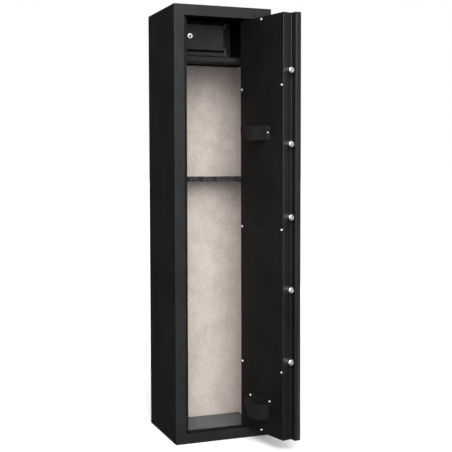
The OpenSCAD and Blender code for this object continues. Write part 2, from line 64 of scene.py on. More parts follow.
SAME_POINT = 2e-6
NODES = frame["nodes"]
BODY_OF = {n: b for b, names in frame["record"]["behaviour"]["bodies"].items() for n in names}
SLOT_OF = {s["node"]: s["material_slot"] for s in frame["record"]["subparts"]}

# ---------------------------------------------------------------- places from the frame

HINGE = next(j for j in frame["joints"] if j["name"] == "door_hinge")
PIN = Vector(HINGE["pos_m"])
OPEN = math.radians(-HINGE["range_deg"][0])
# Takes a point of the shut door to where it is at rest, with the door open
DOOR = Matrix.Translation(PIN) @ Matrix.Rotation(OPEN, 4, "Z") @ Matrix.Translation(-PIN)


def door_box(node):
    """Lowest and highest corner of a door node with the door turned back to its shut place."""
    turn = DOOR.inverted()
    co = np.array([turn @ v.co for v in NODES[node].data.vertices])
    return Vector(co.min(0)), Vector(co.max(0))


# ---------------------------------------------------------------- node tree helpers


class Tree:
    """Short calls for building one material's nodes."""

    def __init__(self, name):
        self.mat = bpy.data.materials.new(name)
        self.mat.use_nodes = True
        self.tree = self.mat.node_tree
        self.shader = self.tree.nodes["Principled BSDF"]
        self.coords = self.tree.nodes.new("ShaderNodeTexCoord").outputs["Object"]

    def link(self, a, b):
        self.tree.links.new(a, b)

    def set(self, **values):
        for key, value in values.items():
            self.shader.inputs[key.replace("_", " ")].default_value = value
        return self

    def mapped(self, scale=(1, 1, 1), turn=(0, 0, 0)):
        node = self.tree.nodes.new("ShaderNodeMapping")
        node.inputs["Scale"].default_value = scale
        node.inputs["Rotation"].default_value = turn
        self.link(self.coords, node.inputs["Vector"])
        return node.outputs["Vector"]

    def noise(self, scale, detail=2.0, rough=0.5, vector=None):
        node = self.tree.nodes.new("ShaderNodeTexNoise")
        node.inputs["Scale"].default_value = scale
        node.inputs["Detail"].default_value = detail
        node.inputs["Roughness"].default_value = rough
        self.link(vector or self.coords, node.inputs["Vector"])
        return node.outputs["Fac"]

    def cells(self, scale):
        node = self.tree.nodes.new("ShaderNodeTexVoronoi")
        node.inputs["Scale"].default_value = scale
        self.link(self.coords, node.inputs["Vector"])
        return node.outputs["Distance"]

    def spread(self, value, low, high, to_low=0.0, to_high=1.0):
        node = self.tree.nodes.new("ShaderNodeMapRange")
        ends = {"From Min": low, "From Max": high, "To Min": to_low, "To Max": to_high}
        for key, number in ends.items():
            node.inputs[key].default_value = number
        self.link(value, node.inputs["Value"])
        return node.outputs["Result"]

    def math(self, kind, a, b):
        node = self.tree.nodes.new("ShaderNodeMath")
        node.operation = kind
        for socket, value in zip(node.inputs, (a, b)):
            if isinstance(value, (int, float)):
                socket.default_value = value
            else:
                self.link(value, socket)
        return node.outputs["Value"]

    def ramp(self, value, *stops):
        """Colours from (place, (r, g, b)) stops."""
        node = self.tree.nodes.new("ShaderNodeValToRGB")
        ends = node.color_ramp.elements
        while len(ends) < len(stops):
            ends.new(0.5)
        for end, (place, colour) in zip(ends, stops):
            end.position = place
            end.color = (*colour, 1)
        self.link(value, node.inputs["Fac"])
        return node.outputs["Color"]

    def bump(self, height, distance, strength=1.0, normal=None):
        node = self.tree.nodes.new("ShaderNodeBump")
        node.inputs["Distance"].default_value = distance
        node.inputs["Strength"].default_value = strength
        self.link(height, node.inputs["Height"])
        if normal:
            self.link(normal, node.inputs["Normal"])
        return node.outputs["Normal"]

    def finish(self, colour=None, rough=None, normal=None):
        for source, socket in ((colour, "Base Color"), (rough, "Roughness"), (normal, "Normal")):
            if source:
                self.link(source, self.shader.inputs[socket])
        return self.mat


# ---------------------------------------------------------------- materials


def powder_coat(name, dark, light, rough, specular):
    """Fine-textured powder coat: a pebbled skin, slow gloss changes and a little settled dust."""
    t = Tree(name).set(Specular_IOR_Level=specular)
    patch = t.noise(9, 3)
    pebble = t.noise(900, 2, 0.6)
    colour = t.ramp(t.math("ADD", t.math("MULTIPLY", patch, 0.7), t.math("MULTIPLY", pebble, 0.3)),
                    (0.35, dark), (0.68, light))
    gloss = t.spread(t.noise(26, 4, 0.6), 0.3, 0.7, rough - 0.05, rough + 0.06)
    normal = t.bump(t.noise(260, 2), 0.00010, 0.5)
    return t.finish(colour, gloss, t.bump(pebble, 0.00009, 0.8, normal))


def needle_felt(name, low, mid, high, pile=1.0, sheen=0.35):
    """Needled carpet: matted fibres that lie mostly one way, soft blotches and pale flecks."""
    t = Tree(name).set(Roughness=0.95, Sheen_Weight=sheen, Sheen_Roughness=0.5, Specular_IOR_Level=0.15)
    blotch = t.noise(16, 4, 0.65)
    tuft = t.noise(150, 3, 0.7)
    fibre = t.noise(520, 3, 0.75, t.mapped((1, 1, 0.45), (0.3, 0.2, 0)))
    mixed = t.math("ADD", t.math("MULTIPLY", blotch, 0.36),
                   t.math("ADD", t.math("MULTIPLY", tuft, 0.30), t.math("MULTIPLY", fibre, 0.34)))
    colour = t.ramp(mixed, (0.36, low), (0.5, mid), (0.64, high))
    normal = t.bump(tuft, 0.0016 * pile, 0.55)
    return t.finish(colour, None, t.bump(fibre, 0.0010 * pile, 0.8, normal))


def plated(name, colour, rough, brushed=(1, 1, 1)):
    """Bright or satin metal with fine marks in its gloss."""
    t = Tree(name).set(Metallic=1.0)
    marks = t.noise(700, 2, 0.5, t.mapped(brushed))
    tint = t.ramp(t.noise(60, 2), (0.3, tuple(0.90 * c for c in colour)), (0.7, colour))
    gloss = t.spread(marks, 0.3, 0.7, rough * 0.8, rough * 1.35)
    return t.finish(tint, gloss, t.bump(marks, 0.00002, 0.4))


def enamel(name, dark, light, rough):
    t = Tree(name).set(Coat_Weight=0.25, Coat_Roughness=0.2)
    return t.finish(t.ramp(t.noise(45, 3), (0.35, dark), (0.7, light)),
                    t.spread(t.noise(120, 2), 0.3, 0.7, rough - 0.04, rough + 0.06),
                    t.bump(t.noise(600, 2), 0.00004, 0.5))


def cellular(name, dark, light, scale, depth, rough=0.9, specular=0.3):
    """Foam or moulded rubber, with the small open cells or the grain of its skin."""
    t = Tree(name).set(Specular_IOR_Level=specular, Sheen_Weight=0.02)
    cells = t.cells(scale)
    grain = t.noise(scale * 0.25, 3)
    colour = t.ramp(t.math("ADD", t.math("MULTIPLY", cells, 0.6), t.math("MULTIPLY", grain, 0.5)),
                    (0.3, dark), (0.75, light))
    return t.finish(colour, t.spread(grain, 0.3, 0.7, rough - 0.08, rough), t.bump(cells, depth, 0.7))


def webbing(name):
    """Plain-woven band: its own u runs along the band and v across it, both in metres."""
    pitch_along, pitch_across = 0.0024, 0.0032
    t = Tree(name).set(Roughness=0.75, Sheen_Weight=0.01, Specular_IOR_Level=0.10)
    uv = t.tree.nodes.new("ShaderNodeUVMap")
    split = t.tree.nodes.new("ShaderNodeSeparateXYZ")
    t.link(uv.outputs["UV"], split.inputs["Vector"])
    along = t.math("SINE", t.math("MULTIPLY", split.outputs["X"], 2 * math.pi / pitch_along), 0)
    across = t.math("SINE", t.math("MULTIPLY", split.outputs["Y"], 2 * math.pi / pitch_across), 0)
    weave = t.math("MULTIPLY", along, across)
    rib = t.math("ADD", t.math("MULTIPLY", weave, 0.5), t.math("MULTIPLY", along, 0.25))
    fuzz = t.noise(900, 2)
    colour = t.ramp(t.math("ADD", t.spread(rib, -0.75, 0.75, 0.0, 0.7), t.math("MULTIPLY", fuzz, 0.3)),
                    (0.2, (0.002, 0.002, 0.002)), (0.85, (0.010, 0.010, 0.0105)))
    return t.finish(colour, None, t.bump(rib, 0.0004, 0.9, t.bump(fuzz, 0.0002, 0.4)))


MATERIALS = {
    "cabinet_paint": powder_coat("cabinet powder coat", (0.004, 0.0041, 0.0045), (0.008, 0.0081, 0.0088),
                                 rough=0.42, specular=0.31),
    # The door's coat is darker than the cabinet's: painted shade for the door's inner face, which faces away from
    # the light
    "door_paint": powder_coat("door powder coat", (0.002, 0.0022, 0.0026), (0.005, 0.0055, 0.0064),
                              rough=0.40, specular=0.40),
    "interior_paint": powder_coat("interior powder coat", (0.005, 0.005, 0.005), (0.011, 0.0108, 0.0105),
                                  rough=0.45, specular=0.16),
    "carpet": needle_felt("taupe needle felt", (0.33, 0.282, 0.250), (0.42, 0.366, 0.330),
                          (0.51, 0.456, 0.420)),
    "floor_carpet": needle_felt("grey floor felt", (0.022, 0.0215, 0.022), (0.038, 0.037, 0.038),
                                (0.062, 0.061, 0.062), pile=1.3, sheen=0.18),
    "steel": plated("zinc-plated steel", (0.50, 0.51, 0.52), rough=0.34, brushed=(1, 1, 0.1)),
    "nickel": plated("satin nickel", (0.74, 0.74, 0.73), rough=0.33),
    "brass": plated("machined brass", (0.62, 0.46, 0.22), rough=0.28),
    "black_nylon": cellular("black nylon", (0.010, 0.010, 0.011), (0.03, 0.03, 0.032),
                            scale=500, depth=0.0001, rough=0.5),
    "rack_foam": cellular("dense foam rubber", (0.010, 0.010, 0.012), (0.034, 0.034, 0.038),
                          scale=900, depth=0.0004),
    "handle_black": enamel("satin black enamel", (0.012, 0.012, 0.013), (0.022, 0.022, 0.024), rough=0.34),
    "webbing": webbing("black webbing"),
    "pocket_rubber": cellular("moulded black rubber", (0.003, 0.003, 0.0035), (0.008, 0.008, 0.009),
                              scale=420, depth=0.00015, rough=0.66, specular=0.11),
}
# Looks that only some faces of a slot have
# Dark matte coat that stands for painted shade on the set-back faces it is given to
RECESS_SHADE = powder_coat("painted recess shade", (0.003, 0.003, 0.003), (0.006, 0.006, 0.006),
                     rough=0.7, specular=0.05)
GROUND = plated("ground bolt steel", (0.66, 0.66, 0.655), rough=0.46)
# Glossier, darker steel for the bolts' sides: the gloss is their polish, the darker colour is painted shade
POLISHED_SHADED = plated("polished bolt steel, painted shade", (0.50, 0.50, 0.51), rough=0.22)
# Blackened steel: the finish of the hinge pins, and painted shade inside the lock plug's keyway
BLACKENED_AND_SHADE = plated("blackened steel and painted shade", (0.10, 0.10, 0.105), rough=0.5)
THREAD = cellular("waxed black thread", (0.012, 0.012, 0.013), (0.03, 0.03, 0.033),
                  scale=1500, depth=0.00008, rough=0.55)

# ---------------------------------------------------------------- mesh helpers


def add_object(name, mesh):
    obj = bpy.data.objects.new(name, mesh)
    bpy.context.scene.collection.objects.link(obj)
    return obj


def mesh_from(name, bm):
    mesh = bpy.data.meshes.new(name)
    bm.to_mesh(mesh)
    bm.free()
    return mesh


def solid(name, bm):
    """An object from a closed bmesh, with its faces turned outwards."""
    bmesh.ops.recalc_face_normals(bm, faces=bm.faces)
    return add_object(name, mesh_from(name, bm))


def copy_of(node):
    """A new bmesh of a CAD node with its split corners joined."""
    bm = bmesh.new()
    bm.from_mesh(NODES[node].data)
    bmesh.ops.remove_doubles(bm, verts=bm.verts, dist=SAME_POINT)
    return bm


def baked(obj):
    """A new mesh of an object as its modifiers leave it."""
    return bpy.data.meshes.new_from_object(obj.evaluated_get(bpy.context.evaluated_depsgraph_get()))


def united(objects):
    """One mesh of closed objects that overlap or touch. The objects are used up."""
    base = objects[0]
    for other in objects[1:]:
        join = base.modifiers.new("join", "BOOLEAN")
        join.operation, join.solver, join.object = "UNION", "EXACT", other
    mesh = baked(base)
    for obj in objects:
        bpy.data.objects.remove(obj)
    return mesh


def cut(piece, cutter):
    """Cuts the closed shape `cutter` out of a piece for good."""
    other = add_object("cutter", mesh_from("cutter", cutter))
    gap = piece.modifiers.new("gap", "BOOLEAN")
    gap.operation, gap.solver, gap.object = "DIFFERENCE", "EXACT", other
    mesh = baked(piece)
    piece.modifiers.clear()
    piece.data = mesh
    bpy.data.objects.remove(other)


def welded(nodes):
    """One bmesh of several touching CAD nodes, joined as welded and ground sheet metal is."""
    bm = bmesh.new()
    bm.from_mesh(united([add_object("part", mesh_from("part", copy_of(node))) for node in nodes]))
    bmesh.ops.remove_doubles(bm, verts=bm.verts, dist=SAME_POINT)
    return bm


def skin(bm, rows, around=True):
    """Faces between each row of vertices and the next, all the way around or open at the ends."""
    for low, high in zip(rows, rows[1:]):
        for k in range(len(low) if around else len(low) - 1):
            n = (k + 1) % len(low)
            bm.faces.new((low[k], low[n], high[n], high[k]))


def capped_tube(bm, rows):
    skin(bm, rows)
    bm.faces.new(rows[0])
    bm.faces.new(rows[-1])


def round_edges(bm, radius, shortest=4 * MM, steps=2, wanted=None):
    """Rounds the outward corners of bm that are longer than `shortest`."""
    flat, corner = math.radians(0.4), math.radians(28)
    bmesh.ops.dissolve_limit(bm, angle_limit=flat, verts=bm.verts, edges=bm.edges)
    picked = [e for e in bm.edges if len(e.link_faces) == 2 and e.is_convex
              and e.calc_face_angle(0) > corner and e.calc_length() > shortest
              and (wanted is None or wanted(e))]
    bmesh.ops.bevel(bm, geom=picked, offset=radius, offset_type="OFFSET", segments=steps, profile=0.5,
                    affect="EDGES", clamp_overlap=True, miter_outer="ARC")


def shade(obj, angle=32):
    obj.data.shade_smooth()
    obj.data.set_sharp_from_angle(angle=math.radians(angle))
    even = obj.modifiers.new("even normals", "WEIGHTED_NORMAL")
    even.keep_sharp = True
    return obj


def place(obj, nodes, material=None):
    """Finishes a piece that stands for CAD nodes: its material, its body and what it replaces."""
    first = nodes[0]
    obj.data.materials.clear()
    obj.data.materials.append(material or MATERIALS[SLOT_OF[first]])
    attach(obj, BODY_OF[first])
    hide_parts(*nodes)
    return obj


def door_extra(name, bm, slot, angle=32, material=None):
    """Finishes a small door piece that no CAD node stands for."""
    piece = shade(add_object(name, mesh_from(name, bm)), angle)
    piece.data.materials.append(material or MATERIALS[slot])
    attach(piece, "door")
    return piece


def repaint(piece, material, wanted):
    """Gives the faces that wanted(face) picks a second material."""
    piece.data.materials.append(material)
    for face in piece.data.polygons:
        if wanted(face):
            face.material_index = 1


def sheet_metal(name, nodes, radius, **options):
    bm = welded(nodes) if len(nodes) > 1 else copy_of(nodes[0])
    round_edges(bm, radius, **options)
    return place(shade(add_object(name, mesh_from(name, bm))), nodes)


# ---------------------------------------------------------------- cabinet and lockbox shells

CABINET = sheet_metal("cabinet_body", ["left_side", "right_side", "back_panel", "top_panel", "base_panel",
                                       "left_stile", "right_stile", "top_rail", "bottom_rail"],
                      1.3 * MM, steps=3, shortest=10 * MM)
# The ledge behind the bottom rail, which the door shuts over, is dull, and its dark coat is painted shade
LEDGE_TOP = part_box("bottom_rail")[1]
LEDGE_HALF = 150 * MM
repaint(CABINET, RECESS_SHADE, lambda face: face.normal.z > 0.9 and abs(face.center.z - LEDGE_TOP.z) < 2 * MM
        and CAD_BOX[0].y < face.center.y < LEDGE_TOP.y and abs(face.center.x) < LEDGE_HALF)
sheet_metal("stop_channel", ["keeper_return", "keeper_flange"], 0.8 * MM)
sheet_metal("shelf_tray", ["shelf"], 0.8 * MM)
sheet_metal("rack_angles", ["rack_brackets"], 0.5 * MM)
sheet_metal("lockbox_case", ["lockbox_shell"], 0.8 * MM)
LOCKBOX_FRAME = sheet_metal("lockbox_frame", ["lockbox_front"], 0.8 * MM)
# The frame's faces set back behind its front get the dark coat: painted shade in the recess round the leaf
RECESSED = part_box("lockbox_front")[1].y - 4 * MM
repaint(LOCKBOX_FRAME, RECESS_SHADE, lambda face: face.center.y > RECESSED)
sheet_metal("lockbox_leaf", ["lockbox_door_leaf"], 0.9 * MM, steps=3)

# ---------------------------------------------------------------- door shells


def upright_at(*places):
    """Picks the upright edges of a door piece that pass through these (x, y) places of the shut door."""
    turn = DOOR.inverted()
    long, near = 0.4, 0.4 * MM

    def wanted(edge):
        ends = [turn @ v.co for v in edge.verts]
        return edge.calc_length() > long and any(
            all(math.hypot(p.x - x, p.y - y) < near for p in ends) for x, y in places)
    return wanted


def folded_steel(name, nodes, corners, bend, radius):
    """A door shell: its long corners are folded to `bend`, its other edges are only broken."""
    bm = welded(nodes)
    round_edges(bm, bend, steps=5, wanted=upright_at(*corners))
    round_edges(bm, radius, shortest=10 * MM)
    return place(shade(add_object(name, mesh_from(name, bm))), nodes)


PANEL_LO, PANEL_HI = door_box("door_outer_panel")
COVER_LO, COVER_HI = door_box("door_inner_cover")
folded_steel("door_panel", ["door_outer_panel", "door_panel_ends"],
             [(PANEL_LO.x, PANEL_HI.y), (PANEL_HI.x, PANEL_HI.y)], 2.4 * MM, 0.8 * MM)
folded_steel("door_box_shell", ["door_inner_cover", "door_free_wall", "door_hinge_wall", "door_inner_ends"],
             [(COVER_LO.x, COVER_HI.y), (COVER_HI.x, COVER_HI.y)], 3.0 * MM, 0.9 * MM)


def weld_bead(name, x, y, side):
    """Hollow fillet weld, lightly rippled, up the corner where a door wall meets the panel."""
    size, sunk, end, pitch = 2.0 * MM, 0.3 * MM, 5 * MM, 3 * MM
    bm = bmesh.new()
    rows = []
    for z in np.arange(PANEL_LO.z + end, PANEL_HI.z - end, pitch):
        ripple = 1 + 0.10 * noise.noise(Vector((0, x * 40, z * 420)))
        row = [(x - side * sunk, y - sunk)]
        for degrees in range(0, 91, 18):
            a = math.radians(degrees)
            row.append((x + side * size * ripple * (1 - math.sin(a)), y + size * ripple * (1 - math.cos(a))))
        rows.append([bm.verts.new(DOOR @ Vector((px, py, z))) for px, py in row])
    capped_tube(bm, rows)
    bmesh.ops.recalc_face_normals(bm, faces=bm.faces)
    door_extra(name, bm, "door_paint", 50)


weld_bead("free_wall_weld", COVER_LO.x, PANEL_HI.y, -1)
weld_bead("hinge_wall_weld", COVER_HI.x, PANEL_HI.y, 1)

# ---------------------------------------------------------------- linings and rack

# Places of the base's two anchor holes, and the hole that the floor felt has over each
ANCHORS = [(-0.100, -0.065), (0.100, -0.065)]
ANCHOR_HOLE_R = 0.007


def felt_slab(node):
    """Felt in the box of a lining node: soft rounded border and a slightly uneven face."""
    lo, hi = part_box(node)
    size = hi - lo
    thin = min(range(3), key=lambda k: size[k])
    a, b = [k for k in range(3) if k != thin]
    middle = (CAD_BOX[0][thin] + CAD_BOX[1][thin]) / 2 if thin != 1 else 0
    outward = 1 if (lo[thin] + hi[thin]) / 2 < middle else -1
    glued = lo[thin] if outward > 0 else hi[thin]
    border, grid = 2.6 * MM, 9 * MM

    def steps(length):
        rim = [0, 0.5 * MM, 1.3 * MM, border, 5 * MM]
        inner = np.linspace(grid, length - grid, max(2, int(length / grid)))
        return [*rim, *inner, *[length - r for r in reversed(rim)]]

    us, vs = steps(size[a]), steps(size[b])
    bm = bmesh.new()

    def point(u, v, height):
        co = [0, 0, 0]
        co[a], co[b], co[thin] = lo[a] + u, lo[b] + v, glued + outward * height
        return bm.verts.new(co)

    def pile_height(u, v):
        rim = min(u, size[a] - u, v, size[b] - v)
        soft = math.sqrt(max(0.0, 1 - (1 - min(1.0, rim / border)) ** 2))
        at = Vector((u, v, thin)) + Vector(lo) * 3
        wave = 0.5 + 0.4 * noise.noise(at * 11) + 0.12 * noise.noise(at * 60)
        return size[thin] * (0.45 + 0.55 * soft) * (0.86 + 0.13 * min(1, max(0, wave)))

    face, back = [], []
    for u in us:
        pairs = [(point(u, v, pile_height(u, v)), point(u, v, 0)) for v in vs]
        face.append([over for over, _ in pairs])
        back.append([under for _, under in pairs])
    for m in range(len(us) - 1):
        for n in range(len(vs) - 1):
            for rows in (face, back):
                bm.faces.new((rows[m][n], rows[m + 1][n], rows[m + 1][n + 1], rows[m][n + 1]))

    def outline(rows):
        """The border's vertices of a grid of them, in order."""
        return [*rows[0], *[r[-1] for r in rows[1:]], *rows[-1][-2::-1], *[r[0] for r in rows[-2:0:-1]]]

    skin(bm, [outline(face), outline(back)])
    return bm


def lay_lining(node, holes=()):
    piece = solid(node + "_felt", felt_slab(node))
    for x, y in holes:
        cutter = bmesh.new()
        bmesh.ops.create_cone(cutter, cap_ends=True, segments=40, radius1=ANCHOR_HOLE_R,
                              radius2=ANCHOR_HOLE_R, depth=30 * MM, matrix=Matrix.Translation((x, y, 0)))
        cut(piece, cutter)
    place(shade(piece, 60), [node])


lay_lining("back_lining")
for side in ("left_lining", "right_lining"):
    lay_lining(side)
lay_lining("floor_lining", ANCHORS)

RACK = sheet_metal("rack_bar", ["barrel_rack"], 2.5 * MM, steps=4, shortest=0.5 * MM)

# ---------------------------------------------------------------- strap

STRAP_LO, STRAP_HI = door_box("strap_loop")
STRAP_TAB = 24 * MM
STRAP_THICK = 2.0 * MM
STRAP_STEP = 1.6 * MM


def even_path(points, step):
    """The points of a smoothed line, one every `step`."""
    line = [Vector(p) for p in points]
    for _ in range(2):
        softer = [line[0]]
        for p, q in zip(line, line[1:]):
            softer += [p.lerp(q, 0.25), p.lerp(q, 0.75)]
        line = softer + [line[-1]]
    out, left = [line[0]], step
    for p, q in zip(line, line[1:]):
        length = (q - p).length
        while length > left:
            p = p.lerp(q, left / length)
            length = (q - p).length
            out.append(p)
            left = step
        left -= length
    return out


def strap_line():
    """The strap's middle line in the shut door's x and y: two flat tabs and the arch between them."""
    x0, x1 = STRAP_LO.x + STRAP_TAB, STRAP_HI.x - STRAP_TAB
    low = STRAP_LO.y + STRAP_THICK / 2 + 0.15 * MM
    rise = STRAP_HI.y - STRAP_LO.y - STRAP_THICK - 0.4 * MM
    middle, half = (x0 + x1) / 2, (x1 - x0 - 2.4 * MM) / 2
    line = [(STRAP_LO.x, low), (STRAP_LO.x + 8 * MM, low), (x0 - 3 * MM, low), (x0 + 0.5 * MM, low)]
    for k in range(1, 24):
        a = math.pi * k / 24
        line.append((middle - half * math.cos(a), low + rise * math.sin(a) ** 0.7))
    line += [(x1 - 0.5 * MM, low), (x1 + 3 * MM, low), (STRAP_HI.x - 8 * MM, low), (STRAP_HI.x, low)]
    return even_path([(x, y, 0) for x, y in line], STRAP_STEP)


def strap():
    """Woven band: a ribbon with rounded selvedges, sagging a little where it hangs free."""
    line = strap_line()
    middle = (STRAP_LO.z + STRAP_HI.z) / 2
    half = (STRAP_HI.z - STRAP_LO.z) / 2 - 1 * MM
    across = [-1, -0.985, -0.94, -0.6, -0.2, 0.2, 0.6, 0.94, 0.985, 1]
    sag, lean, wander = 2.4 * MM, 0.9 * MM, 0.5 * MM
    bm = bmesh.new()
    uv = bm.loops.layers.uv.new("UVMap")
    rows, spots = [], {}
    for k, p in enumerate(line):
        ahead = (line[min(k + 1, len(line) - 1)] - line[max(k - 1, 0)]).normalized()
        out = Vector((-ahead.y, ahead.x, 0))
        free = max(0.0, (p.y - STRAP_LO.y - 4 * MM) / (STRAP_HI.y - STRAP_LO.y))
        row = []
        for sign in (1, -1):
            for w in across if sign > 0 else reversed(across):
                edge = math.sqrt(max(0.0, 1 - max(0.0, (abs(w) - 0.9) / 0.1) ** 2))
                tilt = free * (lean * w + wander * noise.noise(Vector((k * 0.06, w, 3))))
                at = p + out * (sign * STRAP_THICK / 2 * (0.35 + 0.65 * edge)) + out * tilt
                z = middle + half * w - free ** 1.5 * sag
                vert = bm.verts.new(DOOR @ Vector((at.x, at.y, z)))
                spots[vert] = (k * STRAP_STEP, w * half + 0.1)
                row.append(vert)
        rows.append(row)
    capped_tube(bm, rows)
    bmesh.ops.recalc_face_normals(bm, faces=bm.faces)
    for f in bm.faces:
        for loop in f.loops:
            loop[uv].uv = spots[loop.vert]
    place(shade(add_object("strap_webbing", mesh_from("strap_webbing", bm)), 60), ["strap_loop"])


def prism(bm, outline, y0, y1):
    """Adds a closed shape to bm: an (x, z) outline on the shut door, from depth y0 to y1."""
    near, far = ([bm.verts.new(DOOR @ Vector((x, y, z))) for x, z in outline] for y in (y0, y1))
    bm.faces.new(near)
    bm.faces.new(far)
    skin(bm, [near, far])


def rounded_outline(x0, x1, z0, z1, radius, steps=6):
    spots = []
    for cx, cz, start in ((x1 - radius, z1 - radius, 0), (x0 + radius, z1 - radius, 90),
                          (x0 + radius, z0 + radius, 180), (x1 - radius, z0 + radius, 270)):
        for k in range(steps + 1):
            a = math.radians(start + 90 * k / steps)
            spots.append((cx + radius * math.cos(a), cz + radius * math.sin(a)))
    return spots


def rounded_plate(outline, y0, y1, edge, steps=2):
    """A bmesh plate with its edges rounded."""
    bm = bmesh.new()
    prism(bm, outline, y0, y1)
    bmesh.ops.recalc_face_normals(bm, faces=bm.faces)
    round_edges(bm, edge, shortest=0.2 * MM, steps=steps)
    return bm


def strap_plates():
    """Pressed plates that clamp the strap's two ends under its screws."""
    half, thick, corner = 9 * MM, 0.8 * MM, 4 * MM
    y = STRAP_LO.y + STRAP_THICK + 0.3 * MM
    z0, z1 = STRAP_LO.z + 2 * MM, STRAP_HI.z - 2 * MM
    for name, x in (("strap_plate_left", STRAP_LO.x + STRAP_TAB / 2),
                    ("strap_plate_right", STRAP_HI.x - STRAP_TAB / 2)):
        outline = rounded_outline(x - half, x + half, z0, z1, corner)
        door_extra(name, rounded_plate(outline, y, y + thick, 0.35 * MM), "handle_black")


def strap_stitches():
    """Rows of thread that hold the strap's turned ends, beside each plate."""
    count, half, length, pitch, inset = 12, 0.35 * MM, 2.6 * MM, 3.7 * MM, 1.6 * MM
    bm = bmesh.new()
    y = STRAP_LO.y + STRAP_THICK + 0.1 * MM
    for x in (STRAP_LO.x + STRAP_TAB - inset, STRAP_HI.x - STRAP_TAB + inset):
        for k in range(count):
            z = STRAP_LO.z + 4 * MM + k * pitch
            outline = rounded_outline(x - half, x + half, z, z + length, 0.34 * MM, 3)
            prism(bm, outline, y, y + 0.45 * MM)
    bmesh.ops.recalc_face_normals(bm, faces=bm.faces)
    door_extra("strap_stitching", bm, "webbing", 40, THREAD)


strap()
strap_plates()
strap_stitches()

# ---------------------------------------------------------------- muzzle pocket


def pocket_cup(x, y, low, tall):
    """Half-round cup that flares upwards, with a rolled rim and a thick floor."""
    wall = 2.5 * MM

    def half_deep(t):
        return (44 + 14 * t) * MM, (34 + 12 * t) * MM

    # The wall's line from the middle of the underside, up, over the rim and down the inside: share
    # of the half width there, height over the underside, and how far outside the flare it stands
    line = [(0, 0, 0), (0.45, 0, 0), (0.80, 0, 0), (0.90, 0.4 * MM, 0), (0.965, 2 * MM, 0), (1, 5 * MM, 0)]
    line += [(1, tall * t, 0) for t in (0.25, 0.5, 0.75, 0.92)]
    line += [(1, tall - 2.6 * MM, 0.9 * MM), (1, tall - 1.1 * MM, 1.0 * MM), (1, tall - 0.2 * MM, 0.3 * MM),
             (1, tall, -1.0 * MM), (1, tall - 0.2 * MM, -2.2 * MM), (1, tall - 1.2 * MM, -wall)]
    line += [(1, tall * t, -wall) for t in (0.75, 0.5, 0.25)]
    line += [(0.97, 6 * MM, -wall), (0.90, 3.4 * MM, -wall), (0.70, 2.6 * MM, -wall), (0.35, wall, -wall)]
    bm = bmesh.new()
    rows = []
    for share, z, off in line:
        half, deep = half_deep(z / tall)
        half, deep = (half + off) * share, (deep + off) * share
        rows.append([bm.verts.new(DOOR @ Vector((x + half * math.cos(math.radians(a)),
                                                 y + deep * math.sin(math.radians(a)) ** 0.8, low + z)))
                     for a in range(0, 181, 5)])
    first, last = rows[0][0], bm.verts.new(DOOR @ Vector((x, y, low + wall)))
    bmesh.ops.delete(bm, geom=rows[0][1:], context="VERTS")
    for p, q in zip(rows[1], rows[1][1:]):
        bm.faces.new((first, p, q))
    skin(bm, rows[1:], around=False)
    for p, q in zip(rows[-1], rows[-1][1:]):
        bm.faces.new((last, q, p))
    bmesh.ops.holes_fill(bm, edges=[e for e in bm.edges if e.is_boundary], sides=0)
    return solid("cup", bm)


def pocket():
    """Moulded muzzle pocket: a cup on a plate that has two ears for its screws."""
    lo, hi = door_box("muzzle_pocket")
    x = (lo.x + hi.x) / 2
    ear, body, thick = 70 * MM, 50 * MM, 2 * MM
    ears = rounded_outline(x - ear, x + ear, hi.z - 22 * MM, hi.z, 7 * MM)
    cup = pocket_cup(x, lo.y + 1.5 * MM, lo.z, hi.z - 17.6 * MM - lo.z)
    plate = add_object("plate", mesh_from("plate", rounded_plate(ears, lo.y, lo.y + thick, 0.8 * MM, 3)))
    bm = bmesh.new()
    prism(bm, rounded_outline(x - body, x + body, lo.z, hi.z - 1 * MM, 6 * MM), lo.y, lo.y + 0.99 * thick)
    mesh = united([plate, solid("skirt", bm), cup])
    place(shade(add_object("pocket_moulding", mesh), 38), ["muzzle_pocket"])


pocket()

# ---------------------------------------------------------------- fixings


def islands(bm):
    """Lists of joined vertices, in the mesh's own order."""
    seen, groups = set(), []
    for start in bm.verts:
        if start in seen:
            continue
        stack, group = [start], [start]
        seen.add(start)
        while stack:
            for edge in stack.pop().link_edges:
                for vert in edge.verts:
                    if vert not in seen:
                        seen.add(vert)
                        group.append(vert)
                        stack.append(vert)
        groups.append(group)
    return groups


def recessed_screws(node, axis, reach, deep):
    """The screws of a node, each with a cross recess. axis(middle) gives the way a head looks."""
    slot, over, taper = 0.48 * MM, 0.5 * MM, 0.55
    arm = [(slot, slot), (slot, reach), (-slot, reach)]
    outline = []
    for _ in range(4):
        outline += arm
        arm = [(-b, a) for a, b in arm]
    bm = copy_of(node)
    crosses = bmesh.new()
    for count, group in enumerate(islands(bm)):
        middle = sum((v.co for v in group), Vector()) / len(group)
        way = axis(middle)
        top = max((v.co for v in group), key=lambda co: co.dot(way))
        side = way.orthogonal().normalized()
        # No two recesses stand at the same angle
        side.rotate(Matrix.Rotation(0.7 + 1.9 * count, 3, way))
        other = way.cross(side)
        centre = middle + way * (top - middle).dot(way)
        near, far = ([crosses.verts.new(centre + side * a * k + other * b * k + way * depth)
                      for a, b in outline] for depth, k in ((over, 1.0), (-deep, taper)))
        crosses.faces.new(near)
        crosses.faces.new(far)
        skin(crosses, [near, far])
    bmesh.ops.recalc_face_normals(crosses, faces=crosses.faces)
    piece = add_object(node + "_crossed", mesh_from(node, bm))
    cut(piece, crosses)
    place(shade(piece, 28), [node])


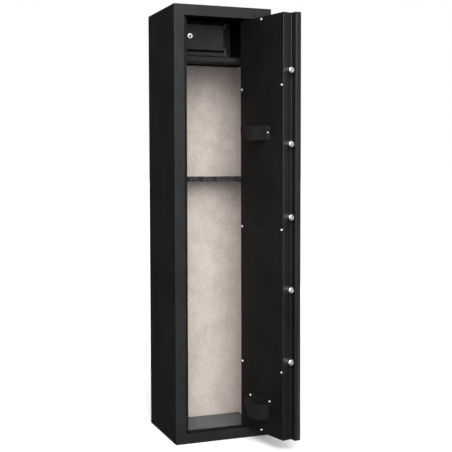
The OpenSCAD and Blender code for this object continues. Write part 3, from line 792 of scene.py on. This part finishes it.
DOOR_INWARD = (DOOR.to_3x3() @ Vector((0, 1, 0))).normalized()
recessed_screws("cover_screws", lambda at: DOOR_INWARD, 2.5 * MM, 1.5 * MM)
recessed_screws("strap_screws", lambda at: DOOR_INWARD, 2.0 * MM, 1.2 * MM)
recessed_screws("pocket_screws", lambda at: DOOR_INWARD, 2.2 * MM, 1.3 * MM)
recessed_screws("shelf_screws", lambda at: Vector((-1 if at.x > 0 else 1, 0, 0)), 2.0 * MM, 1.1 * MM)

# ---------------------------------------------------------------- mechanism

BOLTS = [f"locking_bolt_{k}" for k in range(1, 6)]
BOLT_AXIS = DOOR.to_3x3() @ Vector((-1, 0, 0))
# Edge radius of each machined piece, in millimetres
EDGED = {"hinge_blocks": 0.8, "lock_case": 0.6, "bolt_bar": 0.8, "bolt_bar_arm": 0.4, "bolt_nuts": 0.7,
         "handle_bearing": 1.0, "key_escutcheon": 0.8, "handle_crank": 0.6, "lock_plug": 0.4, "key": 0.45,
         "lock_deadbolt": 0.5, "lockbox_lock_body": 0.5, "lockbox_plug": 0.25, "lockbox_cam": 0.3,
         "hinge_pins": 0.6, "thrust_washer": 0.3, "lockbox_hinge_pins": 0.3, "hinge_bushes": 0.3,
         "bolt_bushes": 0.4, "carriage_pads": 0.8, "handle_spindle": 0.6,
         **{bolt: 0.35 for bolt in BOLTS}}
FINISH = {"lockbox_hinge_pins": BLACKENED_AND_SHADE, "hinge_pins": BLACKENED_AND_SHADE, **{bolt: GROUND for bolt in BOLTS}}
MADE = {}
for node, radius in EDGED.items():
    bm = copy_of(node)
    round_edges(bm, radius * MM, shortest=0.2 * MM)
    MADE[node] = place(shade(add_object(node + "_made", mesh_from(node, bm))), [node], FINISH.get(node))
# The bolts' sides take the polished steel, whose darker colour than the ends is painted shade
for bolt in BOLTS:
    repaint(MADE[bolt], POLISHED_SHADED, lambda face: abs(face.normal.dot(BOLT_AXIS)) < 0.6)


def shaded_keyway(piece, centre, way, radius, deep):
    """Sinks the middle of a lock plug's face, and paints the sunk part and the slot in it dark, as painted shade.
    """
    dish = bmesh.new()
    turn = way.to_track_quat("Z", "Y").to_matrix().to_4x4()
    bmesh.ops.create_cone(dish, cap_ends=True, segments=40, radius1=radius * 0.8, radius2=radius + 0.2 * deep,
                          depth=2 * deep, matrix=Matrix.Translation(centre) @ turn)
    cut(piece, dish)

    def sunk(face):
        away = face.center - centre
        depth = away.dot(way)
        return -30 * MM < depth < -0.05 * MM and (away - way * depth).length < radius * 1.05

    # Dark steel on the sunk faces is painted shade inside the keyhole
    repaint(piece, BLACKENED_AND_SHADE, sunk)


PLUG_LO, PLUG_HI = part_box("lockbox_plug")
PLUG_FACE = Vector(((PLUG_LO.x + PLUG_HI.x) / 2, PLUG_LO.y, (PLUG_LO.z + PLUG_HI.z) / 2))
shaded_keyway(MADE["lockbox_plug"], PLUG_FACE, Vector((0, -1, 0)), 4.2 * MM, 0.8 * MM)

# ---------------------------------------------------------------- lever

LEVER_LO, LEVER_HI = door_box("handle_lever")
HUB_R = 15 * MM
TIP_R = 8 * MM
SPINDLE_BORE_R = 8.05 * MM
HUB_X = LEVER_LO.x + HUB_R
ARM_Y = LEVER_LO.y + 12 * MM
LEVER_Z = (LEVER_LO.z + LEVER_HI.z) / 2


def circle(step):
    """Cosine and sine of every `step` degrees of a turn."""
    return [(math.cos(math.radians(a)), math.sin(math.radians(a))) for a in range(0, 360, step)]


def lever_hub():
    """Stepped hub, turned about the spindle, with the bore that the spindle enters."""
    depth = LEVER_HI.y - LEVER_LO.y
    # Radius and distance from the hub's outer face, from its door side to that face
    profile = [(SPINDLE_BORE_R, depth), (14.2 * MM, depth), (HUB_R, depth - 0.8 * MM), (HUB_R, 9.5 * MM),
               (14.4 * MM, 6 * MM), (13.2 * MM, 3.4 * MM), (12 * MM, 2.2 * MM), (11.4 * MM, 0.9 * MM),
               (10.2 * MM, 0.15 * MM), (5 * MM, 0)]
    bm = bmesh.new()

    def ring(r, away):
        return [bm.verts.new(DOOR @ Vector((HUB_X + r * c, LEVER_LO.y + away, LEVER_Z + r * s)))
                for c, s in circle(6)]

    rings = [ring(r, away) for r, away in profile]
    tip = bm.verts.new(DOOR @ Vector((HUB_X, LEVER_LO.y, LEVER_Z)))
    bore_end = ring(SPINDLE_BORE_R, 7 * MM)
    skin(bm, [bore_end, *rings])
    bm.faces.new(bore_end)
    face = rings[-1]
    for k in range(len(face)):
        bm.faces.new((face[k], face[(k + 1) % len(face)], tip))
    return solid("hub", bm)


def lever_arm():
    """Waisted arm of slightly flat section, that swells towards its rounded end."""
    start, flatness = 9 * MM, 0.92
    reach = LEVER_HI.x - TIP_R - HUB_X
    bm = bmesh.new()

    def ring(away, r):
        return [bm.verts.new(DOOR @ Vector((HUB_X + away, ARM_Y + flatness * r * c, LEVER_Z + r * s)))
                for c, s in circle(10)]

    rings = []
    for k in range(41):
        t = k / 40
        swell = 6.3 * MM + 1.7 * MM * (2 * t - 1) ** 2 * (1 if t > 0.5 else 0.9)
        rings.append(ring(start + (reach - start) * t, swell))
    for k in range(1, 8):
        a = math.radians(90 * k / 8)
        rings.append(ring(reach + TIP_R * math.sin(a), TIP_R * math.cos(a)))
    capped_tube(bm, rings)
    return solid("arm", bm)


place(shade(add_object("lever_cast", united([lever_hub(), lever_arm()])), 40), ["handle_lever"])

# ---------------------------------------------------------------- studio

CAMERA = {"at": (-1.11664, -3.07584, 0.94311), "yaw": 21.024, "pitch": 3.162, "roll": 0.127,
          "lens": 73.396, "rise": -0.02}


def lamp(name, kind, at, towards, **values):
    data = bpy.data.lights.new(name, kind)
    for key, value in values.items():
        setattr(data, key, value)
    obj = add_object(name, data)
    obj.location = at
    obj.rotation_euler = (Vector(towards) - Vector(at)).to_track_quat("-Z", "Y").to_euler()
    return obj


def studio():
    world = bpy.data.worlds.new("studio")
    bpy.context.scene.world = world
    world.use_nodes = True
    tree = world.node_tree
    around = tree.nodes["Background"]
    around.inputs["Color"].default_value = (0.94, 0.97, 1.0, 1)
    around.inputs["Strength"].default_value = 0.04
    seen = tree.nodes.new("ShaderNodeBackground")
    seen.inputs["Color"].default_value = (1, 1, 1, 1)
    path = tree.nodes.new("ShaderNodeLightPath")
    mix = tree.nodes.new("ShaderNodeMixShader")
    tree.links.new(path.outputs["Is Camera Ray"], mix.inputs["Fac"])
    tree.links.new(around.outputs["Background"], mix.inputs[1])
    tree.links.new(seen.outputs["Background"], mix.inputs[2])
    tree.links.new(mix.outputs["Shader"], tree.nodes["World Output"].inputs["Surface"])

    bm = bmesh.new()
    bmesh.ops.create_grid(bm, x_segments=1, y_segments=1, size=60)
    floor = add_object("floor", mesh_from("floor", bm))
    floor.data.materials.append(Tree("studio floor").set(
        Base_Color=(0.9, 0.9, 0.9, 1), Roughness=0.9, Specular_IOR_Level=0.0).mat)
    floor.visible_glossy = False

    # High soft sun from the front, a low one that reaches the lockbox, and one overhead for the floor
    lamp("key", "SUN", (-0.75, -3.00, 2.25), (0, 0, 0), energy=4.6, angle=math.radians(50))
    lamp("front", "SUN", (-0.70, -3.20, 0.50), (0, 0, 0), energy=1.9, angle=math.radians(36))
    lamp("top", "SUN", (0.1, -0.3, 4.0), (0, 0, 0), energy=1.8, angle=math.radians(110))
    # Softboxes that give the folds, bolts and back something to reflect
    for name, at, towards, wide, high, energy in (
            ("right box", (3.6, -2.7, 1.5), (0.2, 0, 0.8), 3.4, 2.8, 20),
            ("rear box", (2.6, 3.2, 0.8), (0, 0, 0.7), 2.6, 1.3, 20),
            ("left box", (-3.4, 1.2, 0.8), (0, 0, 0.7), 2.4, 1.3, 6)):
        lamp(name, "AREA", at, towards, shape="RECTANGLE", size=wide, size_y=high, energy=energy)


def camera():
    data = bpy.data.cameras.new("camera")
    data.sensor_width = 36
    data.lens = CAMERA["lens"]
    data.shift_y = CAMERA["rise"]
    obj = add_object("camera", data)
    obj.location = CAMERA["at"]
    obj.rotation_euler = [math.radians(a) for a in (90 - CAMERA["pitch"], CAMERA["roll"], -CAMERA["yaw"])]
    bpy.context.scene.camera = obj


studio()
camera()
bpy.context.scene.view_settings.view_transform = "Standard"
